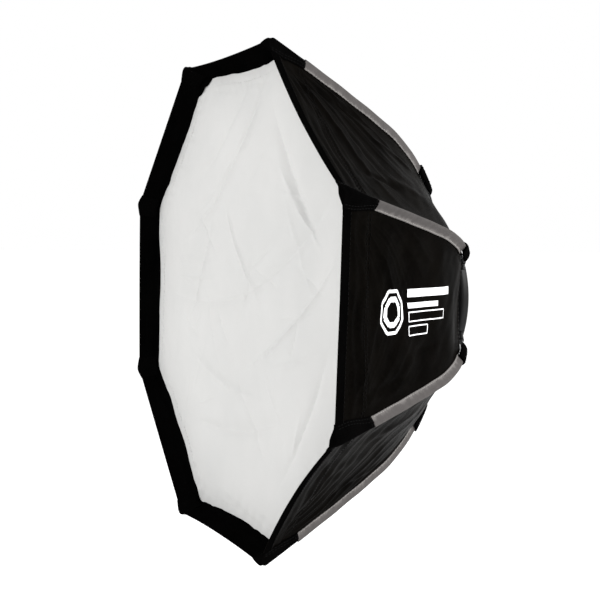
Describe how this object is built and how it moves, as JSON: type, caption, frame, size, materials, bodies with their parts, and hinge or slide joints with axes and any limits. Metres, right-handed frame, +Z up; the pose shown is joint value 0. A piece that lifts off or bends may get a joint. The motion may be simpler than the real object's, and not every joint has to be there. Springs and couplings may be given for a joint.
{
  "type": "octabox",
  "caption": "Octagonal folding softbox: black fabric on sprung ribs around a bayonet speed ring, with a recessed white front diffuser.",
  "frame": {"origin": "centre of the rear mount, on the seating face of the insert flange", "axes": "+Y along the mount axis to the rear, towards the lamp head; +Z up; the white front faces -Y"},
  "size_m": [0.516, 0.2688, 0.516],
  "materials": {
    "ring_plastic": "moulded glass-filled nylon, fine texture",
    "insert_metal": "turned and bead-blasted aluminium, dark anodised lugs",
    "pin_steel": "bright steel",
    "screw_steel": "black oxide steel",
    "rod_steel": "black coated spring steel",
    "socket_plastic": "moulded nylon",
    "sleeve_tape": "warm grey woven tape, stitched both sides",
    "panel_fabric": "black coated nylon, silver reflective inside",
    "diffuser_fabric": "white ripstop diffusion cloth"
  },
  "bodies": {
    "hub": {"hub_ring": "ring_plastic", "mount_insert": "insert_metal", "pivot_pins": "pin_steel", "hub_screws": "screw_steel"},
    "rib_1": {"rib_rod_1": "rod_steel", "rib_socket_1": "socket_plastic", "rib_cover_1": "sleeve_tape"},
    "rib_2": {"rib_rod_2": "rod_steel", "rib_socket_2": "socket_plastic", "rib_cover_2": "sleeve_tape"},
    "rib_3": {"rib_rod_3": "rod_steel", "rib_socket_3": "socket_plastic", "rib_cover_3": "sleeve_tape"},
    "rib_4": {"rib_rod_4": "rod_steel", "rib_socket_4": "socket_plastic", "rib_cover_4": "sleeve_tape"},
    "rib_5": {"rib_rod_5": "rod_steel", "rib_socket_5": "socket_plastic", "rib_cover_5": "sleeve_tape"},
    "rib_6": {"rib_rod_6": "rod_steel", "rib_socket_6": "socket_plastic", "rib_cover_6": "sleeve_tape"},
    "rib_7": {"rib_rod_7": "rod_steel", "rib_socket_7": "socket_plastic", "rib_cover_7": "sleeve_tape"},
    "rib_8": {"rib_rod_8": "rod_steel", "rib_socket_8": "socket_plastic", "rib_cover_8": "sleeve_tape"},
    "pleat_1_a": {"side_panel_1_a": "panel_fabric"},
    "gore_1_a": {"diffuser_1_a": "diffuser_fabric"},
    "pleat_1_b": {"side_panel_1_b": "panel_fabric"},
    "gore_1_b": {"diffuser_1_b": "diffuser_fabric"},
    "pleat_2_a": {"side_panel_2_a": "panel_fabric"},
    "gore_2_a": {"diffuser_2_a": "diffuser_fabric"},
    "pleat_2_b": {"side_panel_2_b": "panel_fabric"},
    "gore_2_b": {"diffuser_2_b": "diffuser_fabric"},
    "pleat_3_a": {"side_panel_3_a": "panel_fabric"},
    "gore_3_a": {"diffuser_3_a": "diffuser_fabric"},
    "pleat_3_b": {"side_panel_3_b": "panel_fabric"},
    "gore_3_b": {"diffuser_3_b": "diffuser_fabric"},
    "pleat_4_a": {"side_panel_4_a": "panel_fabric"},
    "gore_4_a": {"diffuser_4_a": "diffuser_fabric"},
    "pleat_4_b": {"side_panel_4_b": "panel_fabric"},
    "gore_4_b": {"diffuser_4_b": "diffuser_fabric"},
    "pleat_5_a": {"side_panel_5_a": "panel_fabric"},
    "gore_5_a": {"diffuser_5_a": "diffuser_fabric"},
    "pleat_5_b": {"side_panel_5_b": "panel_fabric"},
    "gore_5_b": {"diffuser_5_b": "diffuser_fabric"},
    "pleat_6_a": {"side_panel_6_a": "panel_fabric"},
    "gore_6_a": {"diffuser_6_a": "diffuser_fabric"},
    "pleat_6_b": {"side_panel_6_b": "panel_fabric"},
    "gore_6_b": {"diffuser_6_b": "diffuser_fabric"},
    "pleat_7_a": {"side_panel_7_a": "panel_fabric"},
    "gore_7_a": {"diffuser_7_a": "diffuser_fabric"},
    "pleat_7_b": {"side_panel_7_b": "panel_fabric"},
    "gore_7_b": {"diffuser_7_b": "diffuser_fabric"},
    "pleat_8_a": {"side_panel_8_a": "panel_fabric"},
    "gore_8_a": {"diffuser_8_a": "diffuser_fabric"},
    "pleat_8_b": {"side_panel_8_b": "panel_fabric"},
    "gore_8_b": {"diffuser_8_b": "diffuser_fabric"}
  },
  "joints": [
    {"name": "rib_fold_1", "type": "hinge", "parent": "hub", "child": "rib_1", "pos_m": [0.08592, -0.0075, 0.03559], "axis": [0.3827, 0, -0.9239], "range_deg": [0, 44], "deforming": ["side_panel_1_a", "diffuser_1_a", "side_panel_1_b", "diffuser_1_b", "side_panel_2_a", "diffuser_2_a", "side_panel_2_b", "diffuser_2_b", "side_panel_3_a", "diffuser_3_a", "side_panel_3_b", "diffuser_3_b", "side_panel_4_a", "diffuser_4_a", "side_panel_4_b", "diffuser_4_b", "side_panel_5_a", "diffuser_5_a", "side_panel_5_b", "diffuser_5_b", "side_panel_6_a", "diffuser_6_a", "side_panel_6_b", "diffuser_6_b", "side_panel_7_a", "diffuser_7_a", "side_panel_7_b", "diffuser_7_b", "side_panel_8_a", "diffuser_8_a", "side_panel_8_b", "diffuser_8_b"]},
    {"name": "rib_fold_2", "type": "hinge", "parent": "hub", "child": "rib_2", "pos_m": [0.03559, -0.0075, 0.08592], "axis": [0.9239, 0, -0.3827], "range_deg": [0, 44]},
    {"name": "rib_fold_3", "type": "hinge", "parent": "hub", "child": "rib_3", "pos_m": [-0.03559, -0.0075, 0.08592], "axis": [0.9239, 0, 0.3827], "range_deg": [0, 44]},
    {"name": "rib_fold_4", "type": "hinge", "parent": "hub", "child": "rib_4", "pos_m": [-0.08592, -0.0075, 0.03559], "axis": [0.3827, 0, 0.9239], "range_deg": [0, 44]},
    {"name": "rib_fold_5", "type": "hinge", "parent": "hub", "child": "rib_5", "pos_m": [-0.08592, -0.0075, -0.03559], "axis": [-0.3827, 0, 0.9239], "range_deg": [0, 44]},
    {"name": "rib_fold_6", "type": "hinge", "parent": "hub", "child": "rib_6", "pos_m": [-0.03559, -0.0075, -0.08592], "axis": [-0.9239, 0, 0.3827], "range_deg": [0, 44]},
    {"name": "rib_fold_7", "type": "hinge", "parent": "hub", "child": "rib_7", "pos_m": [0.03559, -0.0075, -0.08592], "axis": [-0.9239, 0, -0.3827], "range_deg": [0, 44]},
    {"name": "rib_fold_8", "type": "hinge", "parent": "hub", "child": "rib_8", "pos_m": [0.08592, -0.0075, -0.03559], "axis": [-0.3827, 0, -0.9239], "range_deg": [0, 44]},
    {"name": "pleat_fold_1_a", "type": "hinge", "parent": "rib_1", "child": "pleat_1_a", "pos_m": [0.11853, -0.03186, 0.0491], "axis": [-0.5024, 0.8392, -0.2081], "range_deg": [0, 73.7]},
    {"name": "gore_fold_1_a", "type": "hinge", "parent": "rib_1", "child": "gore_1_a", "pos_m": [0.24021, -0.23223, 0.0995], "axis": [-0.5991, 0.2527, -0.7598], "range_deg": [0, 65.2]},
    {"name": "pleat_fold_1_b", "type": "hinge", "parent": "rib_2", "child": "pleat_1_b", "pos_m": [0.0491, -0.03186, 0.11853], "axis": [0.2081, -0.8392, 0.5024], "range_deg": [0, 73.7]},
    {"name": "gore_fold_1_b", "type": "hinge", "parent": "rib_2", "child": "gore_1_b", "pos_m": [0.0995, -0.23223, 0.24021], "axis": [0.7598, -0.2527, 0.5991], "range_deg": [0, 65.2]},
    {"name": "pleat_fold_2_a", "type": "hinge", "parent": "rib_2", "child": "pleat_2_a", "pos_m": [0.0491, -0.03186, 0.11853], "axis": [-0.2081, 0.8392, -0.5024], "range_deg": [0, 73.7]},
    {"name": "gore_fold_2_a", "type": "hinge", "parent": "rib_2", "child": "gore_2_a", "pos_m": [0.0995, -0.23223, 0.24021], "axis": [0.1136, 0.2527, -0.9608], "range_deg": [0, 65.2]},
    {"name": "pleat_fold_2_b", "type": "hinge", "parent": "rib_3", "child": "pleat_2_b", "pos_m": [-0.0491, -0.03186, 0.11853], "axis": [-0.2081, -0.8392, 0.5024], "range_deg": [0, 73.7]},
    {"name": "gore_fold_2_b", "type": "hinge", "parent": "rib_3", "child": "gore_2_b", "pos_m": [-0.0995, -0.23223, 0.24021], "axis": [0.1136, -0.2527, 0.9608], "range_deg": [0, 65.2]},
    {"name": "pleat_fold_3_a", "type": "hinge", "parent": "rib_3", "child": "pleat_3_a", "pos_m": [-0.0491, -0.03186, 0.11853], "axis": [0.2081, 0.8392, -0.5024], "range_deg": [0, 73.7]},
    {"name": "gore_fold_3_a", "type": "hinge", "parent": "rib_3", "child": "gore_3_a", "pos_m": [-0.0995, -0.23223, 0.24021], "axis": [0.7598, 0.2527, -0.5991], "range_deg": [0, 65.2]},
    {"name": "pleat_fold_3_b", "type": "hinge", "parent": "rib_4", "child": "pleat_3_b", "pos_m": [-0.11853, -0.03186, 0.0491], "axis": [-0.5024, -0.8392, 0.2081], "range_deg": [0, 73.7]},
    {"name": "gore_fold_3_b", "type": "hinge", "parent": "rib_4", "child": "gore_3_b", "pos_m": [-0.24021, -0.23223, 0.0995], "axis": [-0.5991, -0.2527, 0.7598], "range_deg": [0, 65.2]},
    {"name": "pleat_fold_4_a", "type": "hinge", "parent": "rib_4", "child": "pleat_4_a", "pos_m": [-0.11853, -0.03186, 0.0491], "axis": [0.5024, 0.8392, -0.2081], "range_deg": [0, 73.7]},
    {"name": "gore_fold_4_a", "type": "hinge", "parent": "rib_4", "child": "gore_4_a", "pos_m": [-0.24021, -0.23223, 0.0995], "axis": [0.9608, 0.2527, 0.1136], "range_deg": [0, 65.2]},
    {"name": "pleat_fold_4_b", "type": "hinge", "parent": "rib_5", "child": "pleat_4_b", "pos_m": [-0.11853, -0.03186, -0.0491], "axis": [-0.5024, -0.8392, -0.2081], "range_deg": [0, 73.7]},
    {"name": "gore_fold_4_b", "type": "hinge", "parent": "rib_5", "child": "gore_4_b", "pos_m": [-0.24021, -0.23223, -0.0995], "axis": [-0.9608, -0.2527, 0.1136], "range_deg": [0, 65.2]},
    {"name": "pleat_fold_5_a", "type": "hinge", "parent": "rib_5", "child": "pleat_5_a", "pos_m": [-0.11853, -0.03186, -0.0491], "axis": [0.5024, 0.8392, 0.2081], "range_deg": [0, 73.7]},
    {"name": "gore_fold_5_a", "type": "hinge", "parent": "rib_5", "child": "gore_5_a", "pos_m": [-0.24021, -0.23223, -0.0995], "axis": [0.5991, 0.2527, 0.7598], "range_deg": [0, 65.2]},
    {"name": "pleat_fold_5_b", "type": "hinge", "parent": "rib_6", "child": "pleat_5_b", "pos_m": [-0.0491, -0.03186, -0.11853], "axis": [-0.2081, -0.8392, -0.5024], "range_deg": [0, 73.7]},
    {"name": "gore_fold_5_b", "type": "hinge", "parent": "rib_6", "child": "gore_5_b", "pos_m": [-0.0995, -0.23223, -0.24021], "axis": [-0.7598, -0.2527, -0.5991], "range_deg": [0, 65.2]},
    {"name": "pleat_fold_6_a", "type": "hinge", "parent": "rib_6", "child": "pleat_6_a", "pos_m": [-0.0491, -0.03186, -0.11853], "axis": [0.2081, 0.8392, 0.5024], "range_deg": [0, 73.7]},
    {"name": "gore_fold_6_a", "type": "hinge", "parent": "rib_6", "child": "gore_6_a", "pos_m": [-0.0995, -0.23223, -0.24021], "axis": [-0.1136, 0.2527, 0.9608], "range_deg": [0, 65.2]},
    {"name": "pleat_fold_6_b", "type": "hinge", "parent": "rib_7", "child": "pleat_6_b", "pos_m": [0.0491, -0.03186, -0.11853], "axis": [0.2081, -0.8392, -0.5024], "range_deg": [0, 73.7]},
    {"name": "gore_fold_6_b", "type": "hinge", "parent": "rib_7", "child": "gore_6_b", "pos_m": [0.0995, -0.23223, -0.24021], "axis": [-0.1136, -0.2527, -0.9608], "range_deg": [0, 65.2]},
    {"name": "pleat_fold_7_a", "type": "hinge", "parent": "rib_7", "child": "pleat_7_a", "pos_m": [0.0491, -0.03186, -0.11853], "axis": [-0.2081, 0.8392, 0.5024], "range_deg": [0, 73.7]},
    {"name": "gore_fold_7_a", "type": "hinge", "parent": "rib_7", "child": "gore_7_a", "pos_m": [0.0995, -0.23223, -0.24021], "axis": [-0.7598, 0.2527, 0.5991], "range_deg": [0, 65.2]},
    {"name": "pleat_fold_7_b", "type": "hinge", "parent": "rib_8", "child": "pleat_7_b", "pos_m": [0.11853, -0.03186, -0.0491], "axis": [0.5024, -0.8392, -0.2081], "range_deg": [0, 73.7]},
    {"name": "gore_fold_7_b", "type": "hinge", "parent": "rib_8", "child": "gore_7_b", "pos_m": [0.24021, -0.23223, -0.0995], "axis": [0.5991, -0.2527, -0.7598], "range_deg": [0, 65.2]},
    {"name": "pleat_fold_8_a", "type": "hinge", "parent": "rib_8", "child": "pleat_8_a", "pos_m": [0.11853, -0.03186, -0.0491], "axis": [-0.5024, 0.8392, 0.2081], "range_deg": [0, 73.7]},
    {"name": "gore_fold_8_a", "type": "hinge", "parent": "rib_8", "child": "gore_8_a", "pos_m": [0.24021, -0.23223, -0.0995], "axis": [-0.9608, 0.2527, -0.1136], "range_deg": [0, 65.2]},
    {"name": "pleat_fold_8_b", "type": "hinge", "parent": "rib_1", "child": "pleat_8_b", "pos_m": [0.11853, -0.03186, 0.0491], "axis": [0.5024, -0.8392, 0.2081], "range_deg": [0, 73.7]},
    {"name": "gore_fold_8_b", "type": "hinge", "parent": "rib_1", "child": "gore_8_b", "pos_m": [0.24021, -0.23223, 0.0995], "axis": [0.9608, -0.2527, -0.1136], "range_deg": [0, 65.2]}
  ],
  "couplings": [
    {"joint": "rib_fold_2", "follows": "rib_fold_1", "ratio": 1},
    {"joint": "rib_fold_3", "follows": "rib_fold_1", "ratio": 1},
    {"joint": "rib_fold_4", "follows": "rib_fold_1", "ratio": 1},
    {"joint": "rib_fold_5", "follows": "rib_fold_1", "ratio": 1},
    {"joint": "rib_fold_6", "follows": "rib_fold_1", "ratio": 1},
    {"joint": "rib_fold_7", "follows": "rib_fold_1", "ratio": 1},
    {"joint": "rib_fold_8", "follows": "rib_fold_1", "ratio": 1},
    {"joint": "pleat_fold_1_a", "follows": "rib_fold_1", "ratio": 1.6635},
    {"joint": "gore_fold_1_a", "follows": "rib_fold_1", "ratio": 1.4703},
    {"joint": "pleat_fold_1_b", "follows": "rib_fold_1", "ratio": 1.6635},
    {"joint": "gore_fold_1_b", "follows": "rib_fold_1", "ratio": 1.4703},
    {"joint": "pleat_fold_2_a", "follows": "rib_fold_1", "ratio": 1.6635},
    {"joint": "gore_fold_2_a", "follows": "rib_fold_1", "ratio": 1.4703},
    {"joint": "pleat_fold_2_b", "follows": "rib_fold_1", "ratio": 1.6635},
    {"joint": "gore_fold_2_b", "follows": "rib_fold_1", "ratio": 1.4703},
    {"joint": "pleat_fold_3_a", "follows": "rib_fold_1", "ratio": 1.6635},
    {"joint": "gore_fold_3_a", "follows": "rib_fold_1", "ratio": 1.4703},
    {"joint": "pleat_fold_3_b", "follows": "rib_fold_1", "ratio": 1.6635},
    {"joint": "gore_fold_3_b", "follows": "rib_fold_1", "ratio": 1.4703},
    {"joint": "pleat_fold_4_a", "follows": "rib_fold_1", "ratio": 1.6635},
    {"joint": "gore_fold_4_a", "follows": "rib_fold_1", "ratio": 1.4703},
    {"joint": "pleat_fold_4_b", "follows": "rib_fold_1", "ratio": 1.6635},
    {"joint": "gore_fold_4_b", "follows": "rib_fold_1", "ratio": 1.4703},
    {"joint": "pleat_fold_5_a", "follows": "rib_fold_1", "ratio": 1.6635},
    {"joint": "gore_fold_5_a", "follows": "rib_fold_1", "ratio": 1.4703},
    {"joint": "pleat_fold_5_b", "follows": "rib_fold_1", "ratio": 1.6635},
    {"joint": "gore_fold_5_b", "follows": "rib_fold_1", "ratio": 1.4703},
    {"joint": "pleat_fold_6_a", "follows": "rib_fold_1", "ratio": 1.6635},
    {"joint": "gore_fold_6_a", "follows": "rib_fold_1", "ratio": 1.4703},
    {"joint": "pleat_fold_6_b", "follows": "rib_fold_1", "ratio": 1.6635},
    {"joint": "gore_fold_6_b", "follows": "rib_fold_1", "ratio": 1.4703},
    {"joint": "pleat_fold_7_a", "follows": "rib_fold_1", "ratio": 1.6635},
    {"joint": "gore_fold_7_a", "follows": "rib_fold_1", "ratio": 1.4703},
    {"joint": "pleat_fold_7_b", "follows": "rib_fold_1", "ratio": 1.6635},
    {"joint": "gore_fold_7_b", "follows": "rib_fold_1", "ratio": 1.4703},
    {"joint": "pleat_fold_8_a", "follows": "rib_fold_1", "ratio": 1.6635},
    {"joint": "gore_fold_8_a", "follows": "rib_fold_1", "ratio": 1.4703},
    {"joint": "pleat_fold_8_b", "follows": "rib_fold_1", "ratio": 1.6635},
    {"joint": "gore_fold_8_b", "follows": "rib_fold_1", "ratio": 1.4703}
  ]
}
